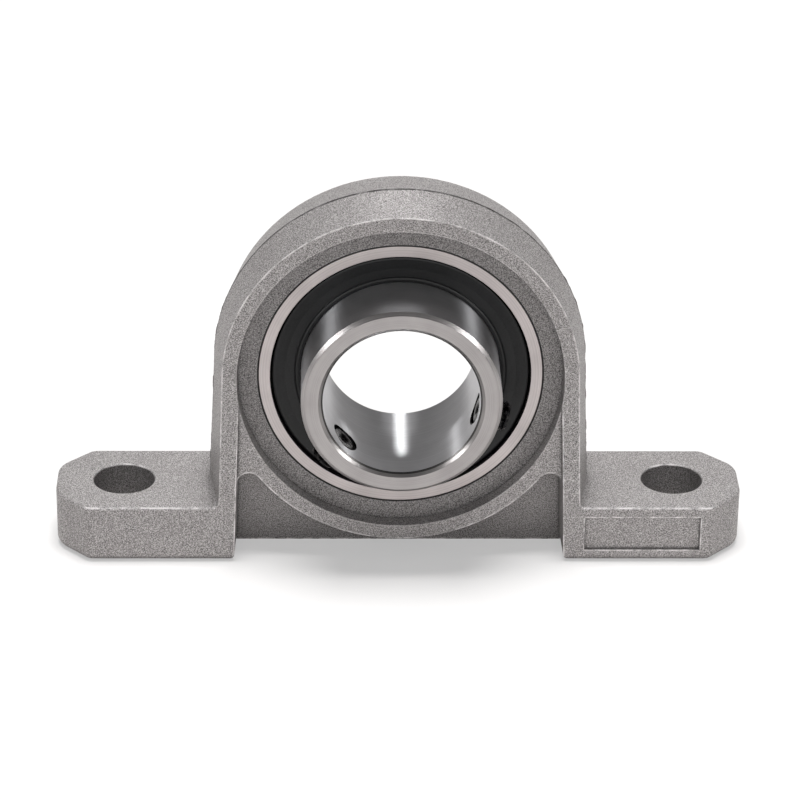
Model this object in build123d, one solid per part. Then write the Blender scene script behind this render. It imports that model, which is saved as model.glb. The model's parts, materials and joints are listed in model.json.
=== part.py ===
from build123d import *
import math
import os

# Pillow block bearing: a cast housing with two bolt feet and a self-aligning ball bearing insert.
# The origin is the middle of the base plane. X runs through both feet, the shaft lies along Y and
# points forward to -Y, and Z is up.

# Housing, overall
shaft_height = 32.0
foot_length = 112.0
base_depth = 20.0
foot_thickness = 10.0
bolt_centres = 90.0
bolt_hole_d = 10.0
corner_cut = 5.3
corner_round = 2.0
end_round = 5.0

# Housing, arch and boss
face_depth = 16.6
arch_draft = 9.6
arch_wall = 3.8
boss_wall = 2.4
floor_width = 2.7
bore_draft = 4.0
leg_upright = 13.0
leg_lean = 2.6
leg_gap = 51.5
leg_gap_lean = 1.9

# Housing, pockets and web
web_thickness = 4.8
pocket_round = 2.0
pocket_draft = 1.8

# Housing, small edges
foot_edge_round = 0.5
junction_round = 1.2
base_edge_round = 1.5
hole_edge_cut = 0.2
seat_chamfer = 0.12

# Housing, bare label recess on the front of the right foot
label_length = 18.85
label_height = 5.95
label_depth = 0.5
label_from_end = 6.95
label_above_base = 2.2

# Bearing insert, overall
bore_d = 25.0
outer_ring_width = 12.0
inner_ring_width = 22.0
inner_ring_short_side = 6.0

# Balls and races, with the wall that each ring keeps behind its race
ball_count = 10
ball_d = 6.35
race_wall = 2.295
race_conformity = 0.52
inner_land_height = 1.155
outer_land_height = 1.22

# Cage of two riveted halves
cage_sheet = 0.6
cage_band = 3.0
rivet_shank_d = 1.2
rivet_head_d = 2.0
rivet_head_height = 0.45

# Seals, with the room behind them and the step that they open in the outer ring
seal_room = 0.525
seal_mouth_step = 0.915
seal_core_sheet = 0.4
seal_rubber = 0.65
seal_dish = 0.3
seal_bead = 0.7
seal_bead_width = 0.65
seal_groove_depth = 0.25
seal_lip = 0.55

# Set screws
set_screw_d = 5.0
set_screw_length = 5.0
set_screw_inset = 5.0
set_screw_first_angle = -16.0
set_screw_spacing = 120.0
set_screw_recess = 0.1
set_screw_chamfer = 0.45
cup_point_d = 2.5
cup_point_depth = 0.6
socket_across_flats = 2.5
socket_depth = 2.4

# Inner ring edges
bore_chamfer_front = 0.7
bore_chamfer_back = 1.0
outer_chamfer_front = 0.6
outer_chamfer_back = 0.4
tapped_hole_chamfer = 0.25

# Clearances
seat_gap = 0.05
ball_gap = 0.03
pocket_gap = 0.1
rivet_gap = 0.02
seal_groove_gap = 0.05
seal_lip_gap = 0.1
thread_gap = 0.05
loading_gap = 0.2
cut_past = 1.0
near = 0.01

# Worked-out sizes, from the shaft outwards
bore_r = bore_d / 2
ball_r = ball_d / 2
race_r = race_conformity * ball_d
inner_race_bottom = bore_r + race_wall
inner_ring_r = inner_race_bottom + inner_land_height
pitch_r = inner_race_bottom + ball_gap + ball_r
outer_race_bottom = pitch_r + ball_r + ball_gap
outer_land_r = outer_race_bottom - outer_land_height
insert_r = outer_race_bottom + race_wall
half_ring = outer_ring_width / 2
seat_r = insert_r + seat_gap
counterbore_r = insert_r + floor_width
boss_r = counterbore_r + boss_wall
arch_r = counterbore_r + arch_wall
half_face = face_depth / 2
half_base = base_depth / 2
leg_spread = shaft_height * math.tan(math.radians(leg_lean))
seal_mouth_r = outer_land_r + seal_mouth_step
seal_groove_r = seal_mouth_r + seal_groove_depth
cage_pocket_r = ball_r + pocket_gap
cage_arch_r = cage_pocket_r + cage_sheet
seal_seat = cage_arch_r + seal_room
cage_inner_r = pitch_r - cage_band / 2
cage_outer_r = pitch_r + cage_band / 2
inner_ring_front = inner_ring_short_side - inner_ring_width
ball_step = 360 / ball_count


def on_shaft(shape):
    """Lifts a shape from the base plane to the shaft."""
    return Pos(0, 0, shaft_height) * shape


def turned(section):
    """Turns a section about the shaft. Its x is the radius and its y is the place along the shaft."""
    return revolve(section, Axis.Y)


def block(radius_from, radius_to, place_from, place_to):
    """A rectangle of a turned section, between two radii and two places along the shaft."""
    middle = Pos((radius_from + radius_to) / 2, (place_from + place_to) / 2)
    return middle * Rectangle(radius_to - radius_from, place_to - place_from)


def corner(section, radius, place):
    """The corner of a turned section nearest to a radius and a place along the shaft."""
    return section.vertices().sort_by_distance((radius, place, 0))[0]


def front_and_back(front):
    """A front shape together with its mirror image at the back."""
    return front + mirror(front, about=Plane.XZ)


def around(angle, radius):
    """A place on a circle round the shaft, measured from +X towards +Z."""
    return Rot(0, -angle, 0) * Pos(radius, 0, 0)


def leg_block(half_width, place_from, place_to, slope, lean):
    """A block under the shaft, whose half width grows by a slope from one place to the other, and by a
    lean from the shaft down to the base."""
    end_width = half_width + abs(place_to - place_from) * math.tan(math.radians(slope))
    past_middle = -half_width / 2
    plan = make_face(
        Polyline(
            (past_middle, place_from),
            (half_width, place_from),
            (end_width, place_to),
            (past_middle, place_to),
            close=True,
        )
    )
    way = Vector(math.sin(math.radians(lean)), 0, -math.cos(math.radians(lean)))
    fall = (shaft_height + cut_past) / math.cos(math.radians(lean))
    right = Pos(0, 0, shaft_height) * extrude(plan, amount=fall, dir=way)
    return right + mirror(right, about=Plane.YZ)


def drum(radius, place_from, place_to, slope):
    """A cone frustum on the shaft, whose radius grows by a slope from one place to the other."""
    end_radius = radius + abs(place_to - place_from) * math.tan(math.radians(slope))
    section = make_face(
        Polyline((0, place_from), (radius, place_from), (end_radius, place_to), (0, place_to), close=True)
    )
    return on_shaft(turned(section))


def arch_solid():
    """A half round over legs, drafted to both faces, whose legs lean out and thicken down to the feet."""
    front = drum(arch_r, 0, -half_base, -arch_draft)
    front += leg_block(arch_r, 0, -half_base, -arch_draft, leg_lean)
    drafted = front_and_back(front)
    top = shaft_height + arch_r + cut_past
    side = make_face(
        Polyline(
            (half_base, 0),
            (half_base, leg_upright),
            (half_face, shaft_height),
            (half_face, top),
            (-half_face, top),
            (-half_face, shaft_height),
            (-half_base, leg_upright),
            (-half_base, 0),
            close=True,
        )
    )
    return drafted & extrude(Plane.YZ * side, amount=arch_r + leg_spread + cut_past, both=True)


def feet_solid():
    """One plate with cut corners and round ends under the arch, softened along its top edge."""
    plan = Rectangle(foot_length, base_depth)
    plan = chamfer(plan.vertices(), corner_cut)
    ends = plan.vertices().group_by(Axis.X)
    plan = fillet(ends[0] + ends[-1], end_round)
    sides = plan.vertices().group_by(Axis.Y)
    plan = fillet(sides[0] + sides[-1], corner_round)
    plate = extrude(plan, amount=foot_thickness)
    return fillet(plate.edges().group_by(Axis.Z)[-1], foot_edge_round)


def is_junction(edge):
    """True on the edges where a foot's top meets the arch's side."""
    middle = edge @ 0.5
    way = edge.tangent_at(0.5)
    on_top = abs(middle.Z - foot_thickness) < near
    return on_top and abs(way.Y) > abs(way.X) and abs(middle.X) < arch_r + leg_spread


def is_foot_rim(edge):
    """True on the base edges round the outside of each foot and along its leg's inner side."""
    middle = edge @ 0.5
    way = edge.tangent_at(0.5)
    on_front = abs(abs(middle.Y) - half_base) < near
    at_end = abs(middle.X) > foot_length / 2 - corner_cut
    at_leg = abs(way.Y) > abs(way.X) and abs(middle.X) < arch_r
    return abs(middle.Z) < near and (on_front or at_end or at_leg)


def relief_cut():
    """The space in front of the boss face, round the insert and between the legs."""
    end = -half_base - cut_past
    round_insert = drum(counterbore_r, -half_face, end, 0)
    return round_insert + leg_block(leg_gap / 2, -half_face, end, pocket_draft, leg_gap_lean)


def pocket_cut():
    """The hollow under the boss, in front of the web, with a rounded end beside each leg."""
    top_x = leg_gap / 2
    base_x = top_x + (shaft_height + cut_past) * math.tan(math.radians(leg_gap_lean))
    outline = make_face(
        Polyline(
            (-base_x, -cut_past),
            (base_x, -cut_past),
            (top_x, shaft_height),
            (-top_x, shaft_height),
            close=True,
        )
    )
    outline -= Pos(0, shaft_height) * Circle(boss_r)
    outline = fillet(outline.vertices().group_by(Axis.Y)[-1], pocket_round)
    inward = Plane(origin=(0, -half_face, 0), x_dir=(-1, 0, 0), z_dir=(0, 1, 0))
    return extrude(inward * outline, amount=half_face - web_thickness / 2, taper=pocket_draft)


def counterbore_cut():
    """The recess in front of the insert, down to the level of the outer ring's face."""
    return drum(counterbore_r, -half_face, -half_ring, -bore_draft)


def seat_cut():
    """The spherical seat, with a small chamfer where it opens into each recess."""
    mouth_r = math.sqrt(seat_r**2 - half_ring**2)
    sphere = Sphere(seat_r)
    rim = make_face(
        Polyline(
            (0, -half_ring),
            (mouth_r + seat_chamfer, -half_ring),
            (mouth_r, -half_ring + seat_chamfer),
            (0, -half_ring + seat_chamfer),
            close=True,
        )
    )
    return on_shaft(sphere + front_and_back(turned(rim)))


def loading_slots():
    """Two shallow slots at the back, through which the insert goes in edge-on and is then turned."""
    band = Rectangle(2 * (seat_r + cut_past), outer_ring_width + 2 * loading_gap)
    outline = Circle(seat_r) & band
    back = Plane(origin=(0, 0, shaft_height), x_dir=(-1, 0, 0), z_dir=(0, 1, 0))
    return extrude(back * outline, amount=half_face + cut_past)


def bolt_holes():
    """The two plain bolt holes, right through the feet."""
    places = [Pos(side * bolt_centres / 2, 0, foot_thickness / 2) for side in (-1, 1)]
    return places * Cylinder(bolt_hole_d / 2, foot_thickness + 2 * cut_past)


def is_hole_mouth(edge):
    """True on the top edges of the bolt holes."""
    on_top = abs((edge @ 0.5).Z - foot_thickness) < near
    return on_top and edge.geom_type == GeomType.CIRCLE and abs(edge.radius - bolt_hole_d / 2) < near


def label_recess():
    """The shallow bare panel on the front of the right foot."""
    middle_x = foot_length / 2 - label_from_end - label_length / 2
    middle_z = label_above_base + label_height / 2
    return Pos(middle_x, -half_base, middle_z) * Box(label_length, 2 * label_depth, label_height)


def housing():
    """The whole casting with its machined seat and holes."""
    body = arch_solid() + feet_solid()
    body = fillet(body.edges().filter_by(is_junction), junction_round)
    body -= front_and_back(relief_cut())
    body -= front_and_back(pocket_cut())
    body = fillet(body.edges().filter_by(is_foot_rim), base_edge_round)
    body -= front_and_back(counterbore_cut())
    body -= seat_cut()
    body -= loading_slots()
    body -= bolt_holes()
    body = chamfer(body.edges().filter_by(is_hole_mouth), hole_edge_cut)
    body -= label_recess()
    return body


def outer_ring():
    """The ring with a spherical outside, a ball race and a groove for each seal."""
    section = Circle(insert_r) & block(outer_land_r, insert_r, -half_ring, half_ring)
    section -= Pos(outer_race_bottom - race_r, 0) * Circle(race_r)
    for side in (-1, 1):
        section -= block(0, seal_mouth_r, side * seal_seat, side * (half_ring + cut_past))
        groove_end = side * (seal_seat + seal_bead + seal_groove_gap)
        section -= block(0, seal_groove_r, side * seal_seat, groove_end)
    return on_shaft(turned(section))


def inner_ring():
    """The wide ring with its ball race, chamfered ends and two tapped holes."""
    back = inner_ring_short_side
    section = block(bore_r, inner_ring_r, inner_ring_front, back)
    section -= Pos(inner_race_bottom + race_r, 0) * Circle(race_r)
    section = chamfer(corner(section, bore_r, inner_ring_front), bore_chamfer_front)
    section = chamfer(corner(section, bore_r, back), bore_chamfer_back)
    section = chamfer(corner(section, inner_ring_r, inner_ring_front), outer_chamfer_front)
    section = chamfer(corner(section, inner_ring_r, back), outer_chamfer_back)
    ring = turned(section)
    for place in set_screw_places():
        ring -= place * tapped_hole()
    return on_shaft(ring)


def set_screw_places():
    """Where the two set screws sit: the local Z of each runs outward along its hole."""
    along = inner_ring_front + set_screw_inset
    angles = [set_screw_first_angle, set_screw_first_angle - set_screw_spacing]
    return [Pos(0, along, 0) * Rot(0, 90 - angle, 0) for angle in angles]


def tapped_hole():
    """A hole through one wall of the inner ring, eased where it leaves the outside."""
    radius = set_screw_d / 2
    hole = Pos(0, 0, bore_r / 2) * extrude(Circle(radius), amount=inner_ring_r)
    mouth = Pos(0, 0, inner_ring_r - tapped_hole_chamfer)
    cone = extrude(Circle(radius), amount=2 * tapped_hole_chamfer, taper=-45)
    return hole + mouth * cone


def set_screw():
    """A short headless screw with a cup point below and a hexagon socket above."""
    radius = set_screw_d / 2 - thread_gap
    body = extrude(Circle(radius), amount=set_screw_length)
    rims = body.edges().filter_by(GeomType.CIRCLE)
    body = chamfer(rims, set_screw_chamfer)
    body -= Pos(0, 0, cup_point_depth / 2) * Cone(cup_point_d / 2, 0, cup_point_depth)
    key = RegularPolygon(socket_across_flats / 2, 6, major_radius=False)
    top = Pos(0, 0, set_screw_length - socket_depth)
    body -= top * extrude(key, amount=socket_depth)
    return Pos(0, 0, bore_r + set_screw_recess) * body


def ball(index):
    """One ball at its place on the pitch circle, the first one at the top."""
    return on_shaft(around(90 + index * ball_step, pitch_r) * Sphere(ball_r))


def cage_half():
    """The front half: a flat ring pressed out into a round arch in front of each ball."""
    band = Plane.XZ * (Circle(cage_outer_r) - Circle(cage_inner_r))
    half = extrude(band, amount=cage_sheet)
    reach = extrude(band, amount=cage_arch_r)
    for index in range(ball_count):
        half += across_ball(index, cage_arch_r) & reach
    for index in range(ball_count):
        half -= across_ball(index, cage_pocket_r)
        half -= around(90 + (index + 0.5) * ball_step, pitch_r) * rivet_hole()
    return half


def across_ball(index, radius):
    """A cylinder through one ball, along the line from the shaft to the ball."""
    return around(90 + index * ball_step, pitch_r) * Cylinder(radius, 2 * cage_band, rotation=(0, 90, 0))


def rivet_hole():
    """A hole along the shaft's direction for one rivet."""
    return extrude(Plane.XZ * Circle(rivet_shank_d / 2 + rivet_gap), amount=cage_sheet, both=True)


def rivet():
    """A rivet through both halves, with a cone head on each side."""
    head_end = cage_sheet + rivet_head_height
    profile = Polyline(
        (0, -head_end),
        (rivet_head_d / 2, -cage_sheet),
        (rivet_shank_d / 2, -cage_sheet),
        (rivet_shank_d / 2, cage_sheet),
        (rivet_head_d / 2, cage_sheet),
        (0, head_end),
        close=True,
    )
    return turned(make_face(profile))


def cage_rivets():
    """All the rivets, one between each pair of balls."""
    places = [around(90 + (index + 0.5) * ball_step, pitch_r) for index in range(ball_count)]
    return Compound(children=[on_shaft(place * rivet()) for place in places])


def seal_core():
    """The flat steel ring that stiffens the back seal."""
    core_outer_r = seal_groove_r - seal_groove_gap - seal_bead_width
    core_inner_r = inner_ring_r + seal_lip_gap + seal_lip
    return turned(block(core_inner_r, core_outer_r, seal_seat, seal_seat + seal_core_sheet))


def seal_rubber_ring():
    """The rubber of the back seal: a bead in the groove, a dished face and a lip at the inner ring."""
    bead_r = seal_groove_r - seal_groove_gap
    core_outer_r = bead_r - seal_bead_width
    lip_r = inner_ring_r + seal_lip_gap
    core_inner_r = lip_r + seal_lip
    core_top = seal_seat + seal_core_sheet
    face = core_top + seal_rubber
    section = make_face(
        Polyline(
            (core_outer_r, seal_seat),
            (bead_r, seal_seat),
            (bead_r, seal_seat + seal_bead),
            (seal_mouth_r - seal_bead_width / 2, seal_seat + seal_bead),
            (core_outer_r, face),
            (core_inner_r, face - seal_dish),
            (lip_r, face - seal_dish),
            (lip_r, core_top - seal_core_sheet / 2),
            (core_inner_r, seal_seat),
            (core_inner_r, core_top),
            (core_outer_r, core_top),
            close=True,
        )
    )
    return turned(section)


def turned_round(shape):
    """A piece turned end for end, because the front and back ones are alike."""
    return Rot(0, 0, 180) * shape


os.makedirs("parts", exist_ok=True)
screws = [on_shaft(place * set_screw()) for place in set_screw_places()]
nodes = {
    "housing": housing(),
    "outer_ring": outer_ring(),
    "inner_ring": inner_ring(),
    "front_seal": on_shaft(turned_round(seal_rubber_ring())),
    "front_seal_core": on_shaft(turned_round(seal_core())),
    "back_seal": on_shaft(seal_rubber_ring()),
    "back_seal_core": on_shaft(seal_core()),
    "cage_front": on_shaft(cage_half()),
    "cage_back": on_shaft(turned_round(cage_half())),
    "cage_rivets": cage_rivets(),
    "set_screw_right": screws[0],
    "set_screw_left": screws[1],
}
for index in range(ball_count):
    nodes[f"ball_{index + 1:02d}"] = ball(index)
for name, shape in nodes.items():
    export_step(shape, f"parts/{name}.step")
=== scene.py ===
import json
import math

import bpy
import numpy as np
from mathutils import Matrix, Vector


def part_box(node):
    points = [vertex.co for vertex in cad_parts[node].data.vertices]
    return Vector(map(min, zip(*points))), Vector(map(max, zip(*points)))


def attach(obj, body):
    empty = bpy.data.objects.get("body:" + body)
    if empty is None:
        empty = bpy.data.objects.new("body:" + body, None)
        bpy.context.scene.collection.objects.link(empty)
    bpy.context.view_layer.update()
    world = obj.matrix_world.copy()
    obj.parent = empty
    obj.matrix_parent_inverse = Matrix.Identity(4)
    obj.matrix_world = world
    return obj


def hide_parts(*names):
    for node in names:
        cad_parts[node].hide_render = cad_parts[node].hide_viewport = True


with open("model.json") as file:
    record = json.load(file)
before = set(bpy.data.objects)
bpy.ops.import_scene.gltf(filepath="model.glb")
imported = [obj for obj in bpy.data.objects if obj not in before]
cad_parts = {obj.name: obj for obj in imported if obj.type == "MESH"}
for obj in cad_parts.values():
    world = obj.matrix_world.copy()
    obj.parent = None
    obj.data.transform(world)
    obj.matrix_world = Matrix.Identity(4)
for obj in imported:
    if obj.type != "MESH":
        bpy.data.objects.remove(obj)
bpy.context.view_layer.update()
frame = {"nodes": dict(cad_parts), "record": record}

# The look of a pillow block bearing: a blasted zinc casting that holds a ground steel insert.
# Lengths are in metres, and mm turns a millimetre value into metres. Angles are in degrees.
mm = 0.001

# Places and sizes read from the frame
ring_low, ring_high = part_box("inner_ring")
outer_low, outer_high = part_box("outer_ring")
seal_low, seal_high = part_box("front_seal")
_, house_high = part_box("housing")
shaft_z = (ring_low.z + ring_high.z) / 2
ring_front = ring_low.y
ring_back = ring_high.y
ring_r = (ring_high.x - ring_low.x) / 2
insert_r = (outer_high.x - outer_low.x) / 2
half_ring = (outer_high.y - outer_low.y) / 2
arch_r = house_high.z - shaft_z
seal_outer_r = (seal_high.x - seal_low.x) / 2
bore_r = next(m for m in frame["record"]["mounts"] if m["name"] == "shaft_bore")["dims"]["r_mm"] * mm

# Casting
half_face = 8.3 * mm
foot_top = 10.0 * mm
recess_r = 26.2 * mm
seat_mouth_r = 22.89 * mm
leg_lean = 2.6
bolt_x = 45.0 * mm
bolt_hole_r = 5.0 * mm
hollow_r = 27 * mm
hollow_end_r = 28.5 * mm
line_fade_start = 0.24 * mm
line_fade_end = 0.36 * mm
crease_reach = 0.9 * mm
edge_reach = 0.4 * mm
soft_edge_r = 0.13 * mm

# Patterns on the casting, in millimetres
grain_size = 0.17
fleck_size = 0.15
cloud_size = 11
wear_size = 2.6

# Colours of the casting
zinc_pit = "504e4d"
zinc_skin = "c0bcbb"
zinc_cloud = "807a7a"
zinc_fleck = "e2dede"
# Near-white of rubbed edges and of painted highlight
zinc_rubbed_and_highlight = "f2eeee"

# Colours of the rubber, the painted shade in the seal's gap, the oxide, the dark band of oily dirt and
# painted shade on the steel, the paper and the backdrop
rubber_low = "060607"
rubber_high = "101113"
# Painted shade in the gap between the seal's rim and the ring
painted_gap_shade = "020202"
oxide_black = "101012"
oxide_rubbed = "383635"
# Dark of oily dirt and painted shade in the joint, and of painted shade at the bore's chamfer
oily_dirt_and_shade = "0d0c0c"
paper_white = "e1dfde"
white = "ffffff"

# How much each dark place on the casting is darkened, from 0 to 1: painted shade in the hollows, on the
# recess walls, in the bolt holes and in the creases, dirt and painted shade in the joint round the
# insert, and the parting line
hollow_shade = 0.3
hollow_far_shade = 0.05
wall_shade = 0.15
joint_shade = 0.93
hole_shade = 0.35
crease_shade = 0.6
line_shade_low = 0.3
line_shade_high = 0.8

# Parting flash, with the window lengths of its two waves in points of the path
flash_height = 0.08 * mm
flash_half_width = 0.14 * mm
flash_sunk = 0.06 * mm
flash_points = 1500
flash_seed = 7
flash_long_window = 31
flash_short_window = 7
flash_level = 0.25
flash_long_swing = 2.2
flash_short_swing = 0.35

# Bearing rings
race_r = 3.302 * mm
inner_race_bottom = 14.795 * mm
outer_race_bottom = 21.205 * mm
outer_land_r = 19.985 * mm
seal_mouth_r = 20.9 * mm
seal_groove_r = 21.15 * mm
seal_seat = 4.4 * mm
seal_groove_end = 5.15 * mm
bore_chamfer_front = 0.7 * mm
bore_chamfer_back = 1.0 * mm
outer_chamfer_front = 0.6 * mm
outer_chamfer_back = 0.4 * mm
ground_edge_r = 0.1 * mm
face_edge_r = 0.1 * mm
mouth_edge_r = 0.08 * mm
sphere_trim = 0.6
ring_turns = 288

# Rubber seals
seal_lip_r = ring_r + 0.1 * mm
seal_face = 5.4 * mm
seal_dish = 0.32 * mm
seal_edge_r = 0.12 * mm
seal_rim_r = seal_mouth_r - 0.36 * mm
seal_rim_width = 0.3 * mm
seal_rim_height = 0.1 * mm
seal_slope_width = 2.0 * mm
seal_slope_r = 1.2 * mm
seal_lip_width = 0.5 * mm
seal_lip_rise = 0.3 * mm
seal_lip_fall = 0.1 * mm
seal_lip_edge_r = 0.08 * mm
lip_groove_depth = 0.16 * mm
seal_gap = 0.02 * mm

# Set screws and their tapped holes
screw_r = 2.45 * mm
screw_length = 5.0 * mm
screw_chamfer = 0.45 * mm
screw_recess = 0.1 * mm
thread_pitch = 0.8 * mm
thread_depth = 0.3 * mm
hole_thread_depth = 0.22 * mm
cup_r = 1.25 * mm
cup_depth = 0.6 * mm
key_half_width = 1.25 * mm
key_depth = 2.4 * mm
key_chamfer = 0.12 * mm
key_floor_slope = 0.2 * mm
key_floor_dip = 0.35 * mm
hole_r = 2.5 * mm
hole_chamfer = 0.25 * mm
cutter_below = 2 * mm
cutter_above = 1.5 * mm
screw_inset = 5.0 * mm
screw_columns = 72
cup_rings = (0.35, 0.7, 1.0)
screw_steps = 12
hole_steps = 10
screw_angles = {"set_screw_right": -16.0, "set_screw_left": -136.0}

# Camera, fitted to the photograph's circles and edges
photo_width = 800
focal_pixels = 3531.0
camera_elevation = 27.26
camera_azimuth = -1.47
camera_roll = 0.73
camera_distance = 574.4 * mm
camera_target = Vector((0, 0, 24 * mm))
picture_centre = (399.3, 402.9)
sensor_width = 36.0

# Stage and light
floor_reach = 3.0
floor_glow = 0.4
world_light = 0.18
card_half_width = 1.15
card_near = -1.4
card_far = 1.1
card_middle = 0.62
card_top = 1.3
light_card = "bdbbba"
dark_card = "3a3939"
side_lamp = Vector((0.75, -0.35, 0.4))


def linear(hex_colour):
    """Turns an sRGB hex colour into linear red, green, blue and alpha."""
    channels = [int(hex_colour[i:i + 2], 16) / 255 for i in (0, 2, 4)]
    return [c / 12.92 if c <= 0.04045 else ((c + 0.055) / 1.055) ** 2.4 for c in channels] + [1.0]


def per_mm(size):
    """The scale of a pattern whose features measure a number of millimetres."""
    return 1 / (size * mm)


# Settings that many nodes share
smooth = {"interpolation_type": "SMOOTHSTEP"}
colours = {"data_type": "RGBA", "clamp_factor": True}
product = {"operation": "MULTIPLY"}
largest = {"operation": "MAXIMUM"}
difference = {"operation": "SUBTRACT"}
size_only = {"operation": "ABSOLUTE"}


def add(tree, kind, inputs=(), **settings):
    """Adds a node with its settings, fills or links its inputs, which are given in their order or by
    name, and gives back its outputs."""
    node = tree.nodes.new(f"ShaderNode{kind}")
    for name, value in settings.items():
        setattr(node, name, value)
    for name, value in inputs.items() if isinstance(inputs, dict) else enumerate(inputs):
        if isinstance(value, bpy.types.NodeSocket):
            tree.links.new(value, node.inputs[name])
        else:
            node.inputs[name].default_value = value
    return node.outputs


def new_material(name):
    """An empty node material, and its tree."""
    material = bpy.data.materials.new(name)
    material.use_nodes = True
    material.node_tree.nodes.clear()
    return material, material.node_tree


def around_shaft(tree):
    """The radius, the place along the shaft and the direction round the shaft at each point."""
    place = add(tree, "TexCoord")["Object"]
    centred = add(tree, "VectorMath", (place, (0, 0, shaft_z)), **difference)[0]
    apart = add(tree, "SeparateXYZ", (centred,))
    across = add(tree, "CombineXYZ", {"X": apart["X"], "Z": apart["Z"]})[0]
    radius = add(tree, "VectorMath", (across,), operation="LENGTH")["Value"]
    round_it = add(tree, "VectorMath", (across, (0, 1, 0)), operation="CROSS_PRODUCT")[0]
    direction = add(tree, "VectorMath", (round_it,), operation="NORMALIZE")[0]
    return radius, apart["Y"], direction


def from_bolt_axis(tree, place):
    """The distance of each point from the axis of the nearer bolt hole."""
    apart = add(tree, "SeparateXYZ", (place,))
    from_middle = add(tree, "Math", (apart["X"],), **size_only)[0]
    from_hole = add(tree, "Math", (from_middle, bolt_x), **difference)[0]
    across = add(tree, "CombineXYZ", {"X": from_hole, "Y": apart["Y"]})[0]
    return add(tree, "VectorMath", (across,), operation="LENGTH")["Value"]


def parting_line(tree, radius, depth, wear):
    """The dark broken line along the middle of the casting's outside: where the depth is small, the
    radius is that of the arch or the legs, and the wear is strong."""
    line = add(tree, "MapRange", (depth, line_fade_end, line_fade_start), **smooth)[0]
    for limits in (
        (radius, arch_r - 1.2 * mm, arch_r - 0.8 * mm),
        (radius, arch_r + 8 * mm, arch_r + 6 * mm),
        (wear, 0.35, 0.56, line_shade_low, line_shade_high),
    ):
        share = add(tree, "MapRange", limits, **smooth)[0]
        line = add(tree, "Math", (line, share), **product)[0]
    return line


def casting_shade(tree, place, radius, depth, forward):
    """How much darker the casting is painted, as painted shade, in its hollows, on the walls of its
    recesses, in the bolt holes and in its creases, and in the joint round the insert, where it is
    partly dirt and partly painted shade. The joint's share comes with it."""
    flat = add(tree, "MapRange", (forward, 0.6, 0.8), **smooth)[0]
    steep = add(tree, "Math", (1.0, flat), **difference)[0]
    low = add(tree, "MapRange", (depth, half_face - 0.2 * mm, half_face - 0.4 * mm), **smooth)[0]
    hollow = add(tree, "Math", (flat, low), **product)[0]
    fading = (radius, hollow_r, hollow_end_r, hollow_shade, hollow_far_shade)
    hollow_depth = add(tree, "MapRange", fading, **smooth)[0]
    recess_edge = (radius, recess_r + 0.3 * mm, recess_r + 0.15 * mm)
    in_recess = add(tree, "MapRange", recess_edge, **smooth)[0]
    wall = add(tree, "Math", (steep, in_recess), **product)[0]
    # Dirt and painted shade in the joint round the insert
    joint_edge = (radius, seat_mouth_r + 0.16 * mm, seat_mouth_r + 0.08 * mm)
    joint = add(tree, "MapRange", joint_edge, **smooth)[0]
    hole_edge = (from_bolt_axis(tree, place), bolt_hole_r + 0.1 * mm, bolt_hole_r + 0.03 * mm)
    in_hole = add(tree, "MapRange", hole_edge, **smooth)[0]
    reach = {"Distance": crease_reach}
    # Painted shade in the creases, darker where the casting is closed in
    openness = add(tree, "AmbientOcclusion", reach, samples=8, only_local=True)["AO"]
    shade = add(tree, "MapRange", (openness, 0.9, 0.45, 0.0, crease_shade), **smooth)[0]
    # Painted shade in the hollows, on the recess walls and in the bolt holes, and dirt and painted shade
    # in the joint, join the creases' shade
    for share, dark in (
        (hollow, hollow_depth),
        (wall, wall_shade),
        (joint, joint_shade),
        (in_hole, hole_shade),
    ):
        darkened = add(tree, "Math", (share, dark), **product)[0]
        shade = add(tree, "Math", (shade, darkened), **largest)[0]
    return shade, joint


def casting_wear_and_highlight(tree, radius, forward, upward, wear):
    """How bright the casting is painted: along its outer edges, partly rubbed wear and partly painted
    highlight, and on its chamfers that face forward and up, a painted highlight, in patches, and less
    round the recess."""
    reach = {"Distance": edge_reach}
    openness = add(tree, "AmbientOcclusion", reach, samples=8, inside=True, only_local=True)["AO"]
    # Outer edges: partly rubbed wear, partly painted highlight
    edge = add(tree, "MapRange", (openness, 0.9, 0.68), **smooth)[0]
    # Painted highlight on chamfers that face forward and up, where the light catches them
    slope = add(tree, "Math", (forward, upward), **product)[0]
    painted_slope_highlight = add(tree, "MapRange", (slope, 0.36, 0.47), **smooth)[0]
    rubbed = []
    for share, least, most in ((edge, 0.1, 0.85), (painted_slope_highlight, 0.15, 0.7)):
        patches = add(tree, "MapRange", (wear, 0.4, 0.6, least, most), **smooth)[0]
        rubbed.append(add(tree, "Math", (share, patches), **product)[0])
    either = add(tree, "Math", rubbed, **largest)[0]
    rim = (radius, recess_r + 0.2 * mm, recess_r + 0.6 * mm, 0.3, 1.0)
    outside = add(tree, "MapRange", rim, **smooth)[0]
    return add(tree, "Math", (either, outside), **product)[0]


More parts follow.
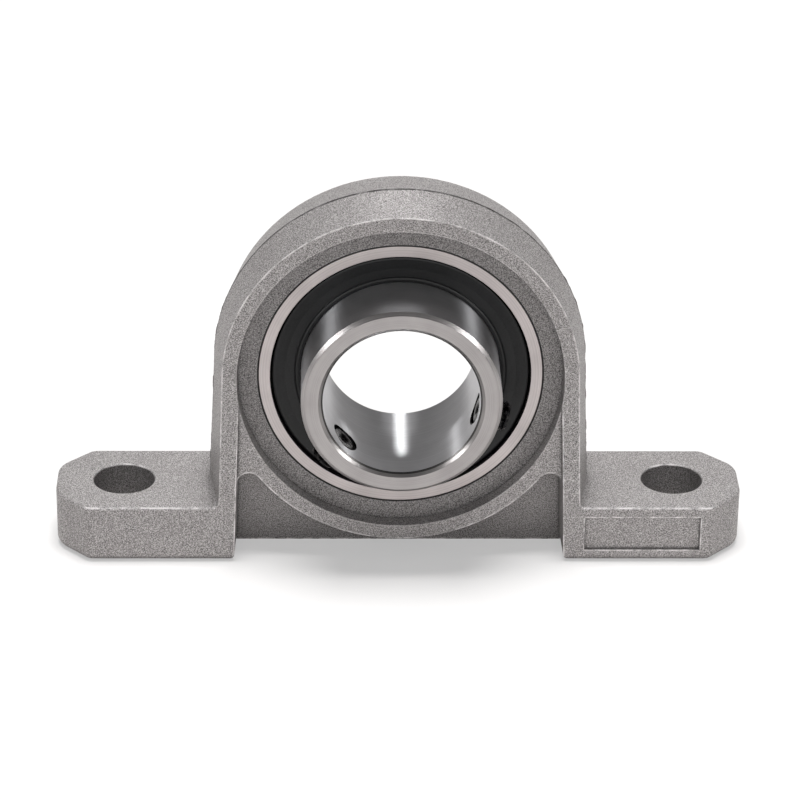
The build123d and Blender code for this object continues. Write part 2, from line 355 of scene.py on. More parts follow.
def blasted_zinc():
    """Die-cast zinc alloy, blasted with fine grit. The eye sees a dull grey skin that sparkles in grains
    of a fifth of a millimetre, bright on its edges, partly rubbed and partly a painted highlight, and
    on its chamfers that face forward and up, a painted highlight, darker in its hollows, recesses,
    bolt holes and creases, a painted shade, dark in the joint round the insert, partly dirt and
    partly painted shade, and with a thin dark broken line where the two halves of the die met."""
    material, tree = new_material("zinc_die_cast_grit_blasted")
    place = add(tree, "TexCoord")["Object"]
    radius, along, _ = around_shaft(tree)
    depth = add(tree, "Math", (along,), **size_only)[0]
    facing = add(tree, "SeparateXYZ", (add(tree, "NewGeometry")["Normal"],))
    forward = add(tree, "Math", (facing["Y"],), **size_only)[0]

    grain, fleck, cloud, wear = (
        add(
            tree,
            "TexNoise",
            {"Vector": place, "Scale": per_mm(size), "Detail": detail, "Roughness": roughness},
        )["Fac"]
        for size, detail, roughness in (
            (grain_size, 1.0, 0.5),
            (fleck_size, 0.0, 0.5),
            (cloud_size, 3.0, 0.6),
            (wear_size, 5.0, 0.7),
        )
    )
    body = linear(zinc_pit)
    for limits, colour in (
        ((grain, 0.25, 0.75), zinc_skin),
        ((cloud, 0.35, 0.65, 0.0, 0.15), zinc_cloud),
        ((fleck, 0.62, 0.74, 0.0, 0.7), zinc_fleck),
    ):
        share = add(tree, "MapRange", limits, **smooth)[0]
        body = add(tree, "Mix", {0: share, 6: body, 7: linear(colour)}, **colours)[2]

    line = parting_line(tree, radius, depth, wear)
    shade, joint = casting_shade(tree, place, radius, depth, forward)
    # The parting line's dark and the painted shade darken the colour
    shade = add(tree, "Math", (shade, line), **largest)[0]
    kept = add(tree, "Math", (1.0, shade), **difference)[0]
    body = add(tree, "VectorMath", {0: body, "Scale": kept}, operation="SCALE")[0]

    # Bright edges and chamfers: partly rubbed wear, partly painted highlight
    rubbed = casting_wear_and_highlight(tree, radius, forward, facing["Z"], wear)
    # The parting line and the joint, with its dirt and painted shade, stay free of the bright edges
    dark_line_and_joint = add(tree, "Math", (line, joint), **largest)[0]
    away_from_line_and_joint = add(tree, "Math", (1.0, dark_line_and_joint), **difference)[0]
    rubbed = add(tree, "Math", (rubbed, away_from_line_and_joint), **product)[0]
    body = add(tree, "Mix", {0: rubbed, 6: body, 7: linear(zinc_rubbed_and_highlight)}, **colours)[2]

    soft_edge = add(tree, "Bevel", {"Radius": soft_edge_r}, samples=4)["Normal"]
    pits = {"Height": grain, "Strength": 0.6, "Distance": 0.03 * mm, "Normal": soft_edge}
    shader = add(
        tree,
        "BsdfPrincipled",
        {
            "Base Color": body,
            "Metallic": 0.4,
            "Roughness": add(tree, "MapRange", (fleck, 0.3, 0.75, 0.64, 0.45), **smooth)[0],
            "Normal": add(tree, "Bump", pits)["Normal"],
        },
    )[0]
    add(tree, "OutputMaterial", {"Surface": shader})
    return material


def ground_steel(name, colour, roughness, stretch, mark_size, mark_depth, oil_and_shade_band=None):
    """Through-hardened bearing steel, ground or turned. The eye sees a bright grey metal whose fine
    marks run round the shaft, so that each highlight is drawn out across them. The band is a pair of
    radii and a share: between the radii the steel is painted dark, on the outer ring where it meets
    the casting, which stands for oily dirt and painted shade in the joint, and on the inner ring where
    the bore's chamfer begins, which is painted shade. The marks are drawn coarser than the real ones
    of a few hundredths of a millimetre, so that they show."""
    material, tree = new_material(name)
    place = add(tree, "TexCoord")["Object"]
    radius, along, direction = around_shaft(tree)
    lines = add(tree, "CombineXYZ", {"X": radius, "Y": along})[0]
    marks = add(
        tree, "TexNoise", {"Vector": lines, "Scale": per_mm(mark_size), "Detail": 3.0, "Roughness": 0.6}
    )["Fac"]
    haze = add(tree, "TexNoise", {"Vector": place, "Scale": per_mm(5), "Detail": 2.0})["Fac"]
    most_marks = add(tree, "Math", (marks, 0.7), **product)[0]
    some_haze = add(tree, "Math", (haze, 0.3), **product)[0]
    uneven = add(tree, "Math", (most_marks, some_haze), operation="ADD")[0]
    share = add(tree, "MapRange", (uneven, 0.3, 0.7), **smooth)[0]
    body = add(tree, "Mix", {0: share, 6: linear(colour[0]), 7: linear(colour[1])}, **colours)[2]
    # A painted dark band: oily dirt and painted shade in the joint on the outer ring, painted shade at
    # the bore's chamfer
    if oil_and_shade_band:
        band_start, band_end, band_share = oil_and_shade_band
        begins = (radius, band_start, band_start + 0.05 * mm, 0.0, band_share)
        from_start = add(tree, "MapRange", begins, **smooth)[0]
        to_end = add(tree, "MapRange", (radius, band_end + 0.1 * mm, band_end), **smooth)[0]
        oily = add(tree, "Math", (from_start, to_end), **product)[0]
        body = add(tree, "Mix", {0: oily, 6: body, 7: linear(oily_dirt_and_shade)}, **colours)[2]
    normal = add(tree, "NewGeometry")["Normal"]
    gloss = (uneven, 0.3, 0.7, roughness - 0.01, roughness + 0.01)
    grooves = {"Height": marks, "Strength": mark_depth, "Distance": 0.01 * mm}
    shader = add(
        tree,
        "BsdfPrincipled",
        {
            "Base Color": body,
            "Metallic": 1.0,
            "Roughness": add(tree, "MapRange", gloss, **smooth)[0],
            "Anisotropic": stretch,
            "Tangent": add(tree, "VectorMath", (normal, direction), operation="CROSS_PRODUCT")[0],
            "Normal": add(tree, "Bump", grooves)["Normal"],
        },
    )[0]
    add(tree, "OutputMaterial", {"Surface": shader})
    return material


def moulded_rubber():
    """Nitrile rubber, moulded against a fine eroded die. The eye sees a matt charcoal black with a
    faint even grain and a soft sheen, and in the gap between its rim and the ring a painted black
    shade that loses the sheen."""
    material, tree = new_material("nitrile_rubber_moulded")
    place = add(tree, "TexCoord")["Object"]
    radius, _, _ = around_shaft(tree)
    # Painted shade: the gap between the seal's rim and the ring is painted black and loses its sheen
    gap = add(tree, "MapRange", (radius, seal_rim_r - 0.06 * mm, seal_rim_r), **smooth)[0]
    grain = add(
        tree, "TexNoise", {"Vector": place, "Scale": per_mm(0.3), "Detail": 2.0, "Roughness": 0.6}
    )["Fac"]
    share = add(tree, "MapRange", (grain, 0.3, 0.7), **smooth)[0]
    body = add(tree, "Mix", {0: share, 6: linear(rubber_low), 7: linear(rubber_high)}, **colours)[2]
    pits = {"Height": grain, "Strength": 0.35, "Distance": 0.03 * mm}
    shader = add(
        tree,
        "BsdfPrincipled",
        {
            "Base Color": add(tree, "Mix", {0: gap, 6: body, 7: linear(painted_gap_shade)}, **colours)[2],
            "Roughness": 0.48,
            "Specular IOR Level": add(tree, "MapRange", (gap, 0.0, 1.0, 0.4, 0.02), **smooth)[0],
            "Normal": add(tree, "Bump", pits)["Normal"],
        },
    )[0]
    add(tree, "OutputMaterial", {"Surface": shader})
    return material


def black_oxide():
    """Alloy steel, blackened in hot oxide salts. The eye sees a deep black with a thin oily shine
    that turns steel grey in patches, where it is rubbed."""
    material, tree = new_material("alloy_steel_black_oxide")
    place = add(tree, "TexCoord")["Object"]
    patch = add(
        tree, "TexNoise", {"Vector": place, "Scale": per_mm(0.7), "Detail": 3.0, "Roughness": 0.6}
    )["Fac"]
    rubbed = add(tree, "MapRange", (patch, 0.45, 0.7), **smooth)[0]
    tones = {0: rubbed, 6: linear(oxide_black), 7: linear(oxide_rubbed)}
    shader = add(
        tree,
        "BsdfPrincipled",
        {
            "Base Color": add(tree, "Mix", tones, **colours)[2],
            "Metallic": 1.0,
            "Roughness": add(tree, "MapRange", (patch, 0.3, 0.7, 0.2, 0.34), **smooth)[0],
        },
    )[0]
    add(tree, "OutputMaterial", {"Surface": shader})
    return material


def plain_metal(name, colour, roughness):
    """A bare metal without a grain of its own, such as strip that is stamped and tumbled, lapped
    balls or sheared flash. The eye sees a plain grey with faint clouds and small dents."""
    material, tree = new_material(name)
    place = add(tree, "TexCoord")["Object"]
    cloud = add(
        tree, "TexNoise", {"Vector": place, "Scale": per_mm(0.9), "Detail": 3.0, "Roughness": 0.6}
    )["Fac"]
    tones = {0: cloud, 6: linear(colour[0]), 7: linear(colour[1])}
    gloss = (cloud, 0.3, 0.7, roughness - 0.05, roughness + 0.05)
    dents = {"Height": cloud, "Strength": 0.2, "Distance": 0.02 * mm}
    shader = add(
        tree,
        "BsdfPrincipled",
        {
            "Base Color": add(tree, "Mix", tones, **colours)[2],
            "Metallic": 1.0,
            "Roughness": add(tree, "MapRange", gloss, **smooth)[0],
            "Normal": add(tree, "Bump", dents)["Normal"],
        },
    )[0]
    add(tree, "OutputMaterial", {"Surface": shader})
    return material


def smooth_to_edges(mesh, sharp_angle=30.0):
    """Shades a mesh smooth, apart from edges sharper than an angle."""
    mesh.shade_smooth()
    mesh.set_sharp_from_angle(angle=math.radians(sharp_angle))


def make_mesh(name, points, faces):
    """Puts points and groups of faces into a new mesh object at the origin."""
    mesh = bpy.data.meshes.new(name)
    mesh.from_pydata(points.tolist(), [], [face for group in faces for face in group.tolist()])
    mesh.validate()
    smooth_to_edges(mesh)
    piece = bpy.data.objects.new(name, mesh)
    bpy.context.scene.collection.objects.link(piece)
    return piece


def grid_faces(rows, columns, close_rows):
    """Quads of a grid whose columns close round, and whose last row may join the first one."""
    row = np.arange(rows if close_rows else rows - 1)[:, None]
    column = np.arange(columns)[None, :]
    next_row = (row + 1) % rows
    next_column = (column + 1) % columns
    corners = (
        row * columns + column,
        row * columns + next_column,
        next_row * columns + next_column,
        next_row * columns + column,
    )
    return np.stack(np.broadcast_arrays(*corners), axis=-1).reshape(-1, 4)


def rounded_path(corners, steps=5, support=0.04 * mm):
    """A closed outline of (radius, place, rounding) corners. Each rounded corner becomes an arc that
    is tangent to both sides, with one more point just before and after it to keep the sides flat."""
    path = []
    count = len(corners)
    for i, (x, y, rounding) in enumerate(corners):
        here = np.array((x, y))
        if rounding == 0:
            path.append(here)
            continue
        back = np.array(corners[i - 1][:2]) - here
        ahead = np.array(corners[(i + 1) % count][:2]) - here
        back = back / np.linalg.norm(back)
        ahead = ahead / np.linalg.norm(ahead)
        half = math.acos(np.clip(back @ ahead, -1, 1)) / 2
        reach = rounding / math.tan(half)
        middle = here + (back + ahead) / np.linalg.norm(back + ahead) * rounding / math.sin(half)
        first = here + back * reach - middle
        last = here + ahead * reach - middle
        swing = math.atan2(first[0] * last[1] - first[1] * last[0], first @ last)
        path.append(here + back * (reach + support))
        for turn in np.linspace(0, swing, steps):
            spin = np.array(((math.cos(turn), -math.sin(turn)), (math.sin(turn), math.cos(turn))))
            path.append(middle + spin @ first)
        path.append(here + ahead * (reach + support))
    return np.array(path)


def arc_points(centre, radius, start, end, steps):
    """Points of an arc in the (radius, place) plane, from one angle to another, in degrees."""
    angles = np.radians(np.linspace(start, end, steps))
    return [(centre[0] + radius * math.cos(a), centre[1] + radius * math.sin(a), 0) for a in angles]


def turned_surface(name, path, turns=ring_turns):
    """A closed path (r, y) carried round the shaft: each point goes to (r cos a, y, r sin a) above
    the base, for every angle a of a full turn. The path is reversed where the faces would point in."""
    ahead = np.roll(path, -1, axis=0)
    if np.sum(path[:, 0] * ahead[:, 1] - ahead[:, 0] * path[:, 1]) < 0:
        path = path[::-1]
    angle = np.linspace(0, 2 * math.pi, turns, endpoint=False)[None, :]
    radius = path[:, 0][:, None]
    place = np.broadcast_to(path[:, 1][:, None], (len(path), turns))
    points = np.stack((radius * np.cos(angle), place, shaft_z + radius * np.sin(angle)), axis=-1)
    return make_mesh(name, points.reshape(-1, 3), [grid_faces(len(path), turns, True)])


def dress(piece, body, node, slot, *materials):
    """Lets a piece stand for a node, ride on its body and carry its materials."""
    for material in materials:
        piece.data.materials.append(material)
    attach(piece, body)
    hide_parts(node)


def outer_ring_path():
    """The outer ring's section: a ball-shaped outside, two ground faces, a step and a groove for
    each seal, and the ball race. The ball shape ends a little short of the faces' rounded edges."""
    corner_r = math.sqrt(insert_r**2 - half_ring**2)
    tilt = math.degrees(math.atan2(half_ring, corner_r)) - sphere_trim
    race_y = math.sqrt(race_r**2 - (outer_land_r - outer_race_bottom + race_r) ** 2)
    race_angle = math.degrees(math.atan2(race_y, outer_land_r - outer_race_bottom + race_r))
    front = [
        (outer_land_r, -seal_seat, 0),
        (seal_groove_r, -seal_seat, 0),
        (seal_groove_r, -seal_groove_end, 0),
        (seal_mouth_r, -seal_groove_end, 0),
        (seal_mouth_r, -half_ring, mouth_edge_r),
        (corner_r, -half_ring, face_edge_r),
    ]
    outside = arc_points((0, 0), insert_r, -tilt, tilt, steps=25)
    back = [(x, -y, rounding) for x, y, rounding in reversed(front)]
    race = arc_points((outer_race_bottom - race_r, 0), race_r, race_angle, -race_angle, steps=17)
    return rounded_path(front + outside + back + race)


def inner_ring_path():
    """The inner ring's section: the bore, a chamfer at each of its four edges, and the ball race."""
    race_y = math.sqrt(race_r**2 - (inner_race_bottom + race_r - ring_r) ** 2)
    race_angle = math.degrees(math.atan2(race_y, inner_race_bottom + race_r - ring_r))
    race_centre = (inner_race_bottom + race_r, 0)
    race = arc_points(race_centre, race_r, 180 + race_angle, 180 - race_angle, steps=17)
    return rounded_path(
        [
            (bore_r + bore_chamfer_front, ring_front, ground_edge_r),
            (ring_r - outer_chamfer_front, ring_front, ground_edge_r),
            (ring_r, ring_front + outer_chamfer_front, ground_edge_r),
        ]
        + race
        + [
            (ring_r, ring_back - outer_chamfer_back, ground_edge_r),
            (ring_r - outer_chamfer_back, ring_back, ground_edge_r),
            (bore_r + bore_chamfer_back, ring_back, ground_edge_r),
            (bore_r, ring_back - bore_chamfer_back, ground_edge_r),
            (bore_r, ring_front + bore_chamfer_front, ground_edge_r),
        ]
    )


def seal_path(side):
    """The seal's section: a bead in the ring's groove, a rim, a dished face and a lip at the inner
    ring, with a shallow groove behind the lip. Side is -1 for the front and 1 for the back."""
    dish = seal_face - seal_dish
    corners = [
        (seal_lip_r, seal_seat + seal_lip_rise, 0),
        (seal_lip_r + seal_lip_width, seal_seat + seal_gap, 0),
        (seal_outer_r, seal_seat + seal_gap, 0),
        (seal_outer_r, seal_groove_end - 0.08 * mm, 0),
        (seal_rim_r, seal_groove_end - 0.05 * mm, 0),
        (seal_rim_r - seal_gap, seal_face - seal_rim_height, seal_edge_r),
        (seal_rim_r - seal_rim_width, seal_face, seal_edge_r),
        (seal_rim_r - seal_slope_width, seal_face - seal_dish * 0.8, seal_slope_r),
        (seal_lip_r + 2 * seal_lip_width, dish, 0.3 * mm),
        (seal_lip_r + 1.5 * seal_lip_width, dish - lip_groove_depth, 0.06 * mm),
        (seal_lip_r + seal_lip_width, dish, seal_lip_edge_r),
        (seal_lip_r, dish - seal_lip_fall, seal_lip_edge_r),
    ]
    return rounded_path([(x, side * y, rounding) for x, y, rounding in corners], support=seal_gap)


def smooth_noise(rough, window):
    """A row of random values, smoothed over a number of them."""
    weights = np.hanning(window)
    return np.convolve(rough, weights / weights.sum(), mode="same")


def flash_surface(name, steps=flash_points, seed=flash_seed):
    """The trace of metal that the die's parting line leaves, as a thin ridge along the middle of the
    casting's outside. A path runs up one leg, round the arch and down the other leg. At each of its
    points the ridge is a triangle whose height is a smoothed random wave, cut off below zero so that
    the ridge breaks up, and held low at the top so that it stays within the casting's height. Its two
    feet lie inside the casting, and so does a fourth row that closes it below."""
    leg_length = (shaft_z - foot_top) / math.cos(math.radians(leg_lean))
    arch_length = math.pi * arch_r
    along = np.linspace(0, 2 * leg_length + arch_length, steps)
    on_arch = np.clip((along - leg_length) / arch_length, 0, 1)
    turn = math.pi * (1 - on_arch)
    below = np.maximum(leg_length - along, 0) + np.maximum(along - leg_length - arch_length, 0)
    side = np.where(along < leg_length + arch_length / 2, -1.0, 1.0)
    lean = math.radians(leg_lean)
    out_x = np.where(below > 0, side * math.cos(lean), np.cos(turn))
    out_z = np.where(below > 0, math.sin(lean), np.sin(turn))
    x = arch_r * np.cos(turn) + side * below * math.sin(lean)
    z = shaft_z + arch_r * np.sin(turn) - below * math.cos(lean)

    rough = np.random.default_rng(seed).normal(size=steps)
    long_wave = flash_long_swing * smooth_noise(rough, flash_long_window)
    short_wave = flash_short_swing * smooth_noise(rough, flash_short_window)
    height = flash_height * np.clip(flash_level + long_wave + short_wave, 0.0, 1.0)
    height = np.minimum(height, arch_r / np.maximum(out_z, 0.5) - arch_r)

    sunk = np.full(steps, -flash_sunk)
    section = ((-flash_half_width, sunk), (0.0, height), (flash_half_width, sunk), (0.0, 2 * sunk))
    rows = [
        np.stack((x + out_x * level, np.full(steps, offset), z + out_z * level), axis=-1)
        for offset, level in section
    ]
    column = np.arange(steps - 1)
    faces = []
    for row in range(len(rows)):
        start = row * steps + column
        after = (row + 1) % len(rows) * steps + column
        faces.append(np.stack((start, start + 1, after + 1, after), axis=-1))
    first = np.arange(len(rows)) * steps
    faces.append(np.stack((first[::-1], first + steps - 1)))
    return make_mesh(name, np.concatenate(rows), faces)


def saw(turn):
    """A wave of straight flanks that runs 0, 1, 0 over each whole number."""
    return 1 - np.abs(2 * (turn % 1) - 1)


def screw_place(angle):
    """The matrix that lays a local Z axis outward along a tapped hole."""
    lean = Matrix.Rotation(math.radians(90 - angle), 4, "Y")
    return Matrix.Translation((0, ring_front + screw_inset, shaft_z)) @ lean


def round_angles():
    """The angle of each column round a screw's axis."""
    return np.linspace(0, 2 * math.pi, screw_columns, endpoint=False)


def closed_tube(name, rows, low, high, lift, angle):
    """Rows of points (r, h) round a tapped hole's axis, one row for each height, closed by a fan
    from a middle point at the height low and another one at the height high. The whole is lifted
    along the axis, and then laid along the hole at an angle."""
    a = round_angles()
    r = np.array([row[0] for row in rows])
    h = np.array([row[1] for row in rows])
    grid = np.stack((r * np.cos(a), r * np.sin(a), h), axis=-1).reshape(-1, 3)
    grid = np.vstack((grid, ((0, 0, low), (0, 0, high))))
    grid[:, 2] += lift
    column = np.arange(screw_columns)
    after = (column + 1) % screw_columns
    last = (len(rows) - 1) * screw_columns
    low_fan = np.stack((np.full(screw_columns, len(grid) - 2), after, column), axis=-1)
    high_fan = np.stack((np.full(screw_columns, len(grid) - 1), last + column, last + after), axis=-1)
    place = screw_place(angle)
    points = grid @ np.array(place.to_3x3()).T + np.array(place.translation)
    return make_mesh(name, points, [grid_faces(len(rows), screw_columns, False), low_fan, high_fan])


def screw_surface(name, angle):
    """A headless screw as rows of points (r, h) round its axis. The rows run from the cup's middle to
    its rim, over the point's chamfer, up the thread, where r swings by the thread's depth with
    h / pitch - a / (2 pi), over the top chamfer, into the hexagon, whose r is the half width over
    the cosine of the angle to the nearest flat, and down to the middle of its floor."""
    a = round_angles()
    one = np.ones(screw_columns)
    rows = [(cup_r * share * one, cup_depth * (1 - share) * one) for share in cup_rings]
    point_r = screw_r - screw_chamfer
    rows.append((point_r * one, 0 * one))
    just_past = screw_length - screw_chamfer + 1e-9
    for h in np.arange(screw_chamfer, just_past, thread_pitch / screw_steps):
        crest = screw_r - thread_depth * saw(h / thread_pitch - a / (2 * math.pi))
        near_end = min(h, screw_length - h)
        rows.append((np.minimum(crest, point_r + near_end), h * one))
    rows.append((point_r * one, screw_length * one))
    from_flat = (a + math.pi / 6) % (math.pi / 3) - math.pi / 6
    hexagon = key_half_width / np.cos(from_flat)
    floor_h = screw_length - key_depth
    rows.append((hexagon + key_chamfer, screw_length * one))
    rows.append((hexagon, (screw_length - key_chamfer) * one))
    rows.append((hexagon, floor_h * one))
    rows.append((hexagon * 0.5, (floor_h - key_floor_slope) * one))
    return closed_tube(name, rows, cup_depth, floor_h - key_floor_dip, bore_r + screw_recess, angle)


def hole_cutter(angle):
    """The space of a tapped hole as rows of points (r, h): the thread's r grows outward from the
    hole's radius with h / pitch - a / (2 pi), and the mouth on the ring's outside is a cone."""
    a = round_angles()
    one = np.ones(screw_columns)
    heights = np.arange(bore_r - cutter_below, ring_r + cutter_above, thread_pitch / hole_steps)
    rows = []
    for h in heights:
        wall = hole_r + hole_thread_depth * saw((h - bore_r) / thread_pitch - a / (2 * math.pi))
        cone = hole_r + max(0.0, h - (ring_r - hole_chamfer)) * one
        rows.append((np.maximum(wall, cone), h * one))
    return closed_tube("tapped_hole_space", rows, heights[0], heights[-1], 0.0, angle)


def cut_away(piece, cutter):
    """Takes the cutter's space out of a piece for good, and removes the cutter."""
    cut = piece.modifiers.new("cut", "BOOLEAN")
    cut.operation = "DIFFERENCE"
    cut.solver = "EXACT"
    cut.object = cutter
    shown = piece.evaluated_get(bpy.context.evaluated_depsgraph_get())
    mesh = bpy.data.meshes.new_from_object(shown)
    piece.modifiers.clear()
    piece.data = mesh
    smooth_to_edges(mesh)
    bpy.data.objects.remove(cutter)


def finish_inner_ring(ring):
    """Picks the material of each face of the inner ring by where it is and which way it faces: the
    ground outside, the two ends, the bore's chamfers, the threads of the tapped holes, which take
    the black oxide as painted shade in the deep holes, the bore."""
    outside, end, chamfer, thread, bore = range(5)
    facing = np.empty(3 * len(ring.data.polygons))
    ring.data.polygons.foreach_get("normal", facing)
    middle = np.empty(3 * len(ring.data.polygons))
    ring.data.polygons.foreach_get("center", middle)
    forward = np.abs(facing[1::3])
    radius = np.hypot(middle[0::3], middle[2::3] - shaft_z)
    in_bore = (forward < 0.95) & (radius < bore_r + bore_chamfer_back)
    finish = np.where(
        forward > 0.5, np.where(in_bore, chamfer, end), np.where(in_bore, bore, outside)
    )
    skin, hole_reach = 0.02 * mm, 3 * mm
    near_hole = np.abs(middle[1::3] - ring_front - screw_inset) < hole_reach
    finish[near_hole & (radius > bore_r + skin) & (radius < ring_r - skin)] = thread
    ring.data.polygons.foreach_set("material_index", finish.astype(np.int32))


def camera():
    """The camera, at the photograph's viewing angle."""
    data = bpy.data.cameras.new("camera")
    data.sensor_width = sensor_width
    data.lens = focal_pixels / photo_width * sensor_width
    data.shift_x = (photo_width / 2 - picture_centre[0]) / photo_width
    data.shift_y = (picture_centre[1] - photo_width / 2) / photo_width
    data.clip_start, data.clip_end = 0.01, 20
    made = bpy.data.objects.new("camera", data)
    bpy.context.scene.collection.objects.link(made)
    azimuth, elevation = math.radians(camera_azimuth), math.radians(camera_elevation)
    back = Vector(
        (
            math.sin(azimuth) * math.cos(elevation),
            -math.cos(azimuth) * math.cos(elevation),
            math.sin(elevation),
        )
    )
    right = Vector((math.cos(azimuth), math.sin(azimuth), 0))
    up = back.cross(right)
    roll = math.radians(camera_roll)
    across = right * math.cos(roll) + up * math.sin(roll)
    upward = up * math.cos(roll) - right * math.sin(roll)
    turn = Matrix((across, upward, back)).transposed().to_4x4()
    made.matrix_world = Matrix.Translation(camera_target + back * camera_distance) @ turn
    bpy.context.scene.camera = made


def lamp(name, place, size, power):
    """A soft round lamp that faces the bearing: its place, its width and height, and its watts."""
    data = bpy.data.lights.new(name, "AREA")
    data.shape = "ELLIPSE"
    data.size, data.size_y = size
    data.energy = power
    made = bpy.data.objects.new(name, data)
    bpy.context.scene.collection.objects.link(made)
    made.location = place
    aim = Vector((0, 0, shaft_z)) - Vector(place)
    made.rotation_euler = aim.to_track_quat("-Z", "Y").to_euler()
    return made


def studio_world():
    """A white backdrop for the camera and for reflections, and a plain level of light around it."""
    world = bpy.data.worlds.new("studio")
    bpy.context.scene.world = world
    world.use_nodes = True
    tree = world.node_tree
    tree.nodes.clear()
    path = add(tree, "LightPath")
    seen = add(tree, "Math", (path["Is Camera Ray"], path["Is Glossy Ray"]), **largest)[0]
    seen = add(tree, "Math", (seen, path["Is Transmission Ray"]), **largest)[0]
    light = add(tree, "Background", {"Color": linear(white), "Strength": world_light})[0]
    backdrop = add(tree, "Background", {"Color": linear(white), "Strength": 1.0})[0]
    mix = add(tree, "MixShader", (seen, light, backdrop))[0]
    add(tree, "OutputWorld", {"Surface": mix})


def paper_sheet():
    """Matt white paper. The eye sees it blend into the backdrop, with only the shadow left on it, so
    a share of it glows, for the camera alone."""
    material, tree = new_material("white_paper_sweep")
    matt = {"Base Color": linear(paper_white), "Roughness": 0.9, "Specular IOR Level": 0.0}
    sheet = add(tree, "BsdfPrincipled", matt)[0]
    bright = add(tree, "Emission", {"Color": linear(white), "Strength": 1.0})[0]
    seen = add(tree, "LightPath")["Is Camera Ray"]
    share = add(tree, "Math", (seen, floor_glow), **product)[0]
    add(tree, "OutputMaterial", {"Surface": add(tree, "MixShader", (share, sheet, bright))[0]})
    return material


def stage_plane(name, corners, material):
    """One flat sheet of the stage between four corners."""
    mesh = bpy.data.meshes.new(name)
    mesh.from_pydata(corners, [], [(0, 1, 2, 3)])
    mesh.materials.append(material)
    sheet = bpy.data.objects.new(name, mesh)
    bpy.context.scene.collection.objects.link(sheet)
    return sheet


def rectangle(first, second, third):
    """The four corners of a rectangle, of which three are given in order."""
    return [first, second, third, tuple(a + c - b for a, b, c in zip(first, second, third))]


def reflection_card(name, colour, corners):
    """A plain card that only reflections see."""
    material, tree = new_material(name)
    glow = add(tree, "Emission", {"Color": linear(colour), "Strength": 1.0})[0]
    add(tree, "OutputMaterial", {"Surface": glow})
    sheet = stage_plane(name, corners, material)
    sheet.visible_camera = False
    sheet.visible_diffuse = False
    sheet.visible_shadow = False


def studio():
    """A white floor that keeps the shadow, cards that only reflections see, light grey low behind the
    bearing and dark grey on the other sides, a top lamp for the even light, and lamps that only
    shine in the metal."""
    reach, wide, near, far = floor_reach, card_half_width, card_near, card_far
    floor = rectangle((-reach, -reach, 0), (reach, -reach, 0), (reach, reach, 0))
    stage_plane("floor", floor, paper_sheet())
    for name, colour, low, high in (
        ("back_card", light_card, 0, card_middle),
        ("high_card", dark_card, card_middle, card_top),
    ):
        corners = rectangle((-wide, far, low), (wide, far, low), (wide, far, high))
        reflection_card(name, colour, corners)
    for name, x in (("left_card", -wide), ("right_card", wide)):
        corners = rectangle((x, near, 0), (x, far, 0), (x, far, card_top))
        reflection_card(name, dark_card, corners)
    corners = rectangle((-wide, near, card_top), (wide, near, card_top), (wide, far, card_top))
    reflection_card("top_card", dark_card, corners)

    top_box = lamp("top_box", (0, 0.05, 1.9), (0.9, 0.8), 47.0)
    top_box.visible_glossy = False
    lamp("front_box", (0, -0.8, 0.4), (1.0, 0.4), 1.1)
    shine_only = [
        lamp("back_core", (0, 0.42, 0.76), (0.18, 0.08), 1.7),
        lamp("back_glow", (0, 0.26, 0.8), (0.6, 0.16), 0.9),
    ]
    for side, label in ((-1, "left"), (1, "right")):
        place = (side * side_lamp.x, side_lamp.y, side_lamp.z)
        shine_only.append(lamp(f"{label}_strip", place, (0.08, 0.22), 1.8))
        shine_only.append(lamp(f"{label}_core", place, (0.07, 0.08), 1.3))
    for shine in shine_only:
        shine.visible_diffuse = False


camera()
studio_world()
studio()
bpy.context.scene.view_settings.view_transform = "Standard"

face_steel = ground_steel(
    "bearing_steel_ground_face",
    ("a39d9c", "beb7b6"),
    roughness=0.32,
    stretch=0.2,
    mark_size=0.16,
    mark_depth=0.35,
    # Dark band in the joint with the casting: oily dirt and painted shade
    oil_and_shade_band=(seat_mouth_r - 0.13 * mm, seat_mouth_r + 0.1 * mm, 0.93),
)
end_steel = ground_steel(
    "bearing_steel_ground_end",
    ("949090", "aca9a8"),
    roughness=0.38,
    stretch=0.3,
    mark_size=0.16,
    mark_depth=0.35,
)
chamfer_steel = ground_steel(
    "bearing_steel_turned_chamfer",
    ("8b8887", "a5a2a1"),
    roughness=0.36,
    stretch=0.3,
    mark_size=0.16,
    mark_depth=0.3,
    # Painted shade: a dark band where the bore's chamfer begins
    oil_and_shade_band=(0.0, bore_r + 0.22 * mm, 0.75),
)
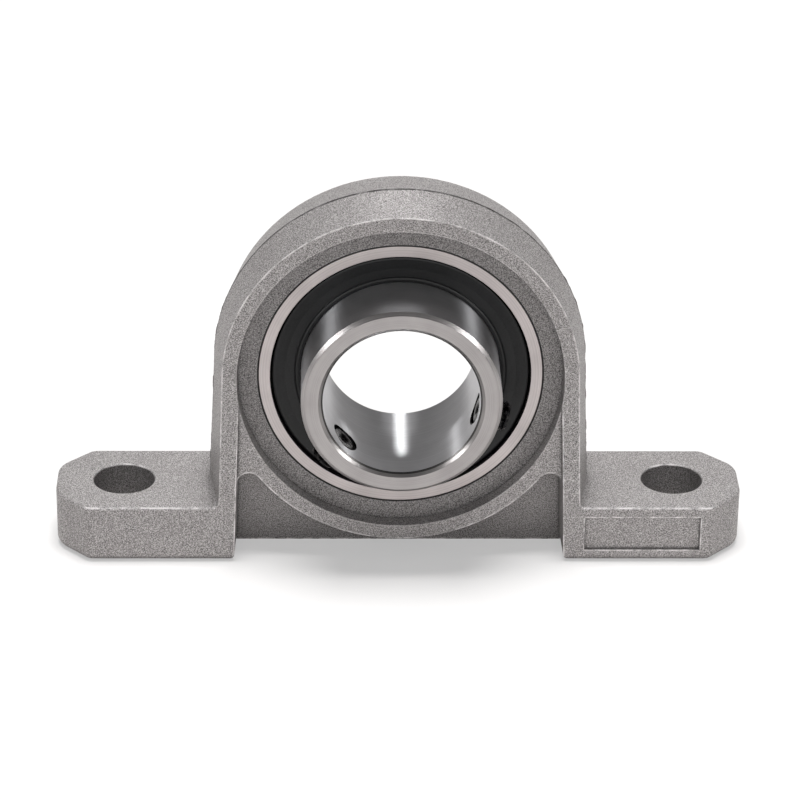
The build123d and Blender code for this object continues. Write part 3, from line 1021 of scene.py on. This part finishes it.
# The bore is the same ground steel as the outside, painted brighter to stand for the light it gets
round_steel, bore_steel_painted_brighter = (
    ground_steel(name, colour, roughness=0.31, stretch=1.0, mark_size=0.14, mark_depth=0.12)
    for name, colour in (
        ("bearing_steel_ground_round", ("99999b", "afafb1")),
        ("bearing_steel_ground_bore_painted_brighter", ("b4b4b6", "cbcbcd")),
    )
)
rubber = moulded_rubber()
oxide = black_oxide()

outer = turned_surface("outer_ring_ground", outer_ring_path())
dress(outer, "outer_ring", "outer_ring", "ring_steel", face_steel)

inner = turned_surface("inner_ring_ground", inner_ring_path())
for angle in screw_angles.values():
    cut_away(inner, hole_cutter(angle))
# The tapped holes' threads take the black oxide as painted shade in the deep holes
inner_steels = (round_steel, end_steel, chamfer_steel, oxide, bore_steel_painted_brighter)
dress(inner, "inner_ring", "inner_ring", "ring_steel", *inner_steels)
finish_inner_ring(inner)

for side, label in ((-1, "front"), (1, "back")):
    seal = turned_surface(f"{label}_seal_moulded", seal_path(side))
    dress(seal, "outer_ring", f"{label}_seal", "seal_rubber", rubber)

for node, angle in screw_angles.items():
    dress(screw_surface(f"{node}_threaded", angle), node, node, "black_oxide_steel", oxide)

flash = flash_surface("parting_flash")
flash.data.materials.append(plain_metal("zinc_flash_sheared", ("2c2a2a", "807a7a"), roughness=0.6))
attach(flash, "housing")

# The nodes that keep their own mesh, by the start of their names
node_finish = {
    "housing": blasted_zinc(),
    "ball_": plain_metal("bearing_steel_lapped", ("c2c1c1", "cccbcb"), roughness=0.1),
    "cage_rivets": plain_metal("wire_steel_cold_headed", ("a09c99", "b5b1ad"), roughness=0.3),
    "cage_front": plain_metal("cold_rolled_steel_pressed", ("97938f", "b0aca8"), roughness=0.34),
    "front_seal_core": plain_metal("strip_steel_stamped", ("8c8987", "a19e9b"), roughness=0.38),
}
node_finish["cage_back"] = node_finish["cage_front"]
node_finish["back_seal_core"] = node_finish["front_seal_core"]
for node in frame["nodes"]:
    for start, material in node_finish.items():
        if node.startswith(start):
            for slot in frame["nodes"][node].material_slots:
                slot.material = material
